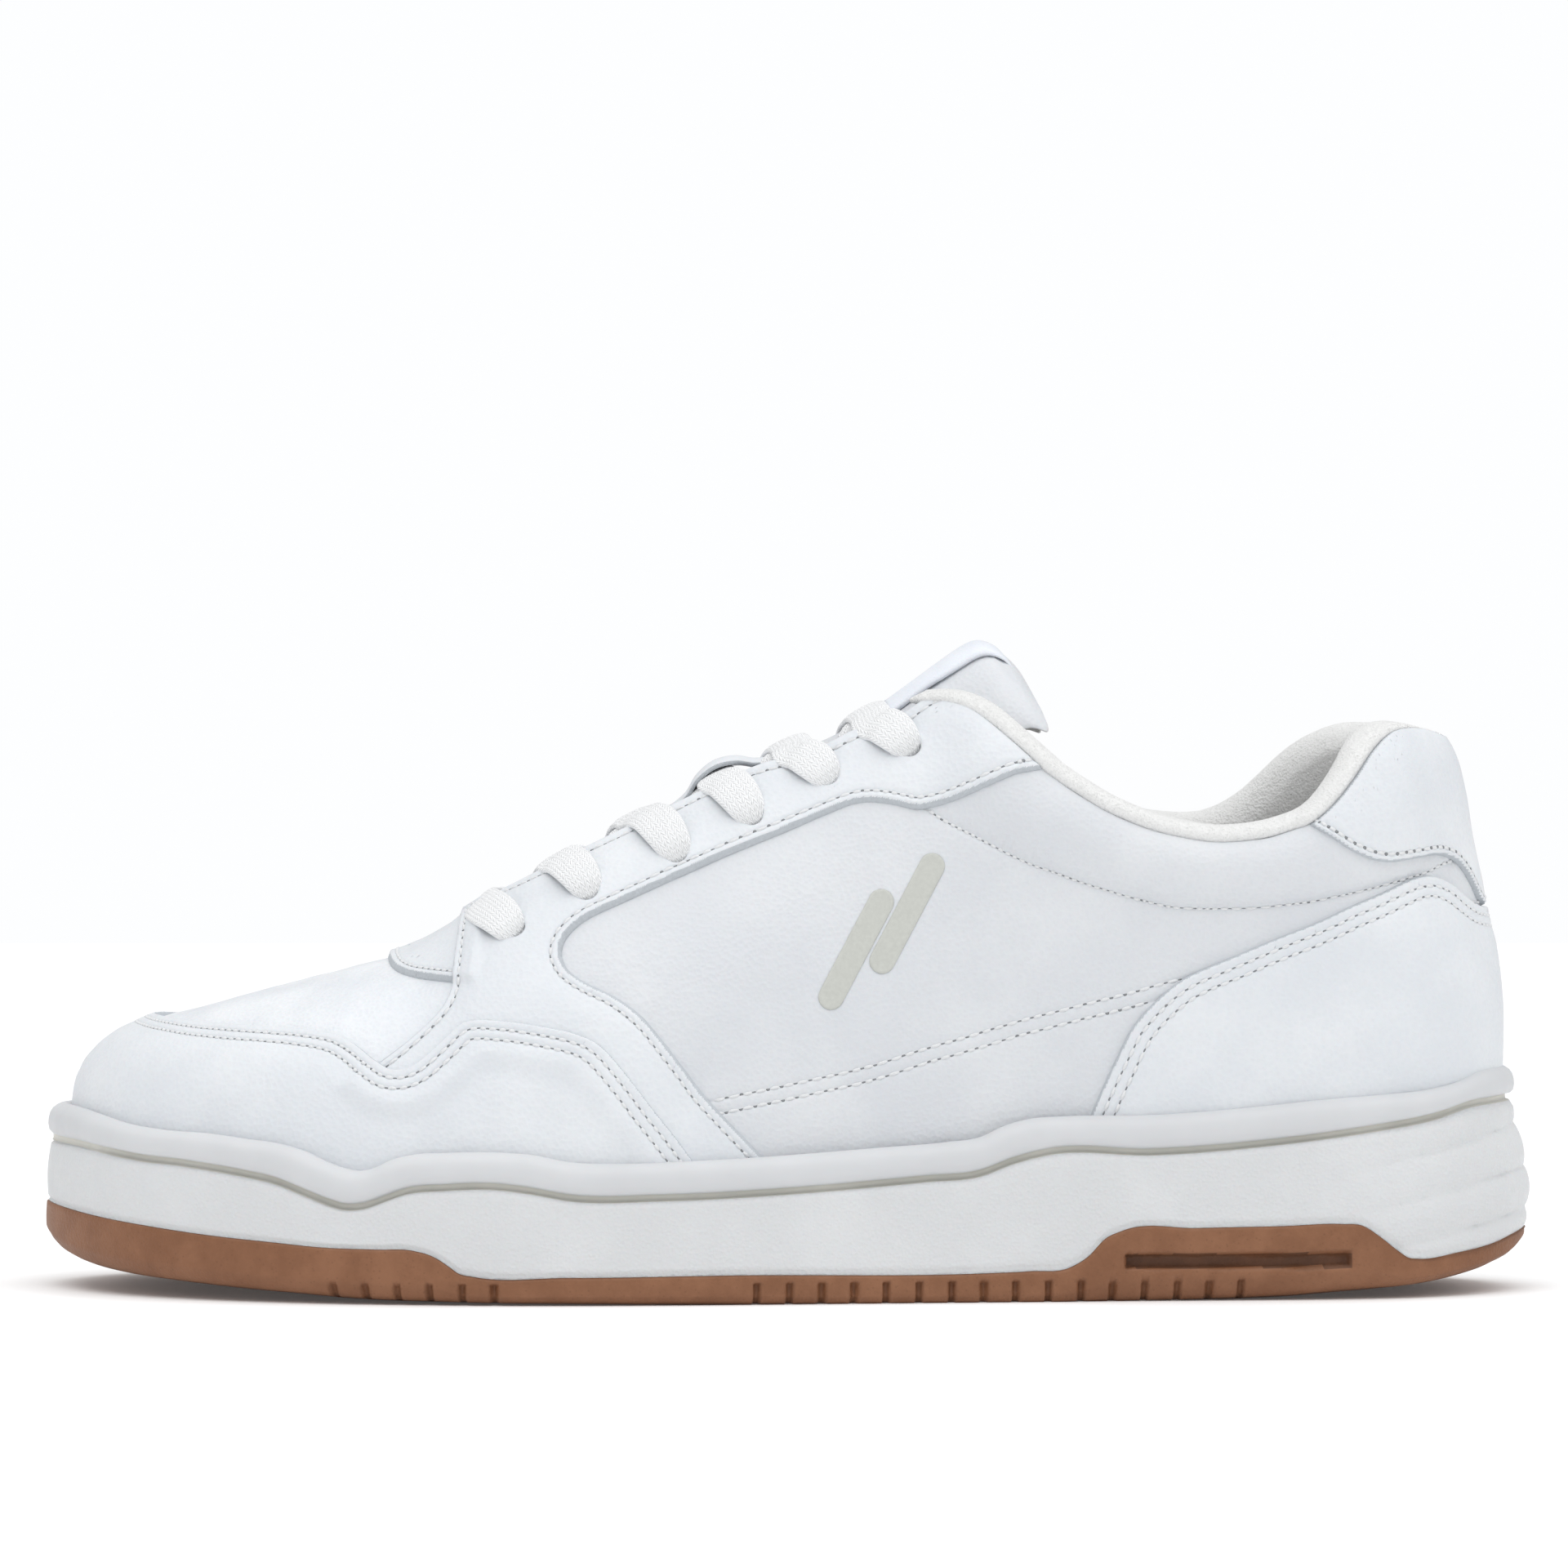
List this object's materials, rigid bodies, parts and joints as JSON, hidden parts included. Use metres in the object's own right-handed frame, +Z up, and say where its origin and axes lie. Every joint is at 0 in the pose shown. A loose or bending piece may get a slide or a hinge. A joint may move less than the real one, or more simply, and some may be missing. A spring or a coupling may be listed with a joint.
{
  "type": "court shoe",
  "caption": "Low-cut laced left court shoe: leather upper with toe, heel and lacing overlays, padded collar and tongue with a flexing tip, on a white cupsole and a gum outsole.",
  "frame": {"origin": "centre of the footprint on the ground, under the middle of the shoe's length and width", "axes": "+X from toe to heel, +Y from the lateral side to the medial side, +Z up from the ground"},
  "size_m": [0.298, 0.109, 0.1285],
  "materials": {
    "gum_rubber": "matte gum rubber with fine specks",
    "white_rubber": "matte white rubber",
    "foam": "closed cell foam",
    "board": "stitched fibre board",
    "leather": "smooth coated white leather, satin",
    "overlay_leather": "smooth coated white leather, satin, raw grey cut edges",
    "print": "thin warm grey print",
    "stiffener": "thermoplastic sheet",
    "textile": "brushed off-white knit lining",
    "ribbon": "bluish white satin ribbon",
    "lace": "flat woven white lace",
    "lace_tip": "clear white lace tip"
  },
  "bodies": {
    "shoe": {"outsole": "gum_rubber", "cupsole": "white_rubber", "midsole": "foam", "strobel_board": "board", "insole": "foam", "insole_cover": "textile", "vamp": "leather", "quarter_lateral": "leather", "quarter_medial": "leather", "mudguard": "overlay_leather", "eyestay_lateral": "overlay_leather", "eyestay_medial": "overlay_leather", "throat_tab": "overlay_leather", "heel_overlay": "overlay_leather", "heel_tab": "overlay_leather", "emblem_lateral": "print", "emblem_medial": "print", "toe_puff": "stiffener", "heel_stiffener": "stiffener", "eyestay_backing_lateral": "textile", "eyestay_backing_medial": "textile", "vamp_lining": "textile", "quarter_lining": "textile", "collar_foam": "foam", "collar_lining": "textile", "tongue_face": "leather", "tongue_foam": "foam", "tongue_lining": "textile", "lace_keeper": "overlay_leather", "shoelace": "lace", "lace_tips": "lace_tip"},
    "tongue_tip": {"tongue_tip_face": "leather", "tongue_tip_foam": "foam", "tongue_tip_lining": "textile", "tongue_ribbon": "ribbon"}
  },
  "joints": [
    {"name": "tongue_tip_flex", "type": "hinge", "parent": "shoe", "child": "tongue_tip", "pos_m": [0.0225, -0.002, 0.1196], "axis": [0, -1, 0], "range_deg": [-10, 40], "stiffness_Nm_per_rad": 0.12}
  ]
}
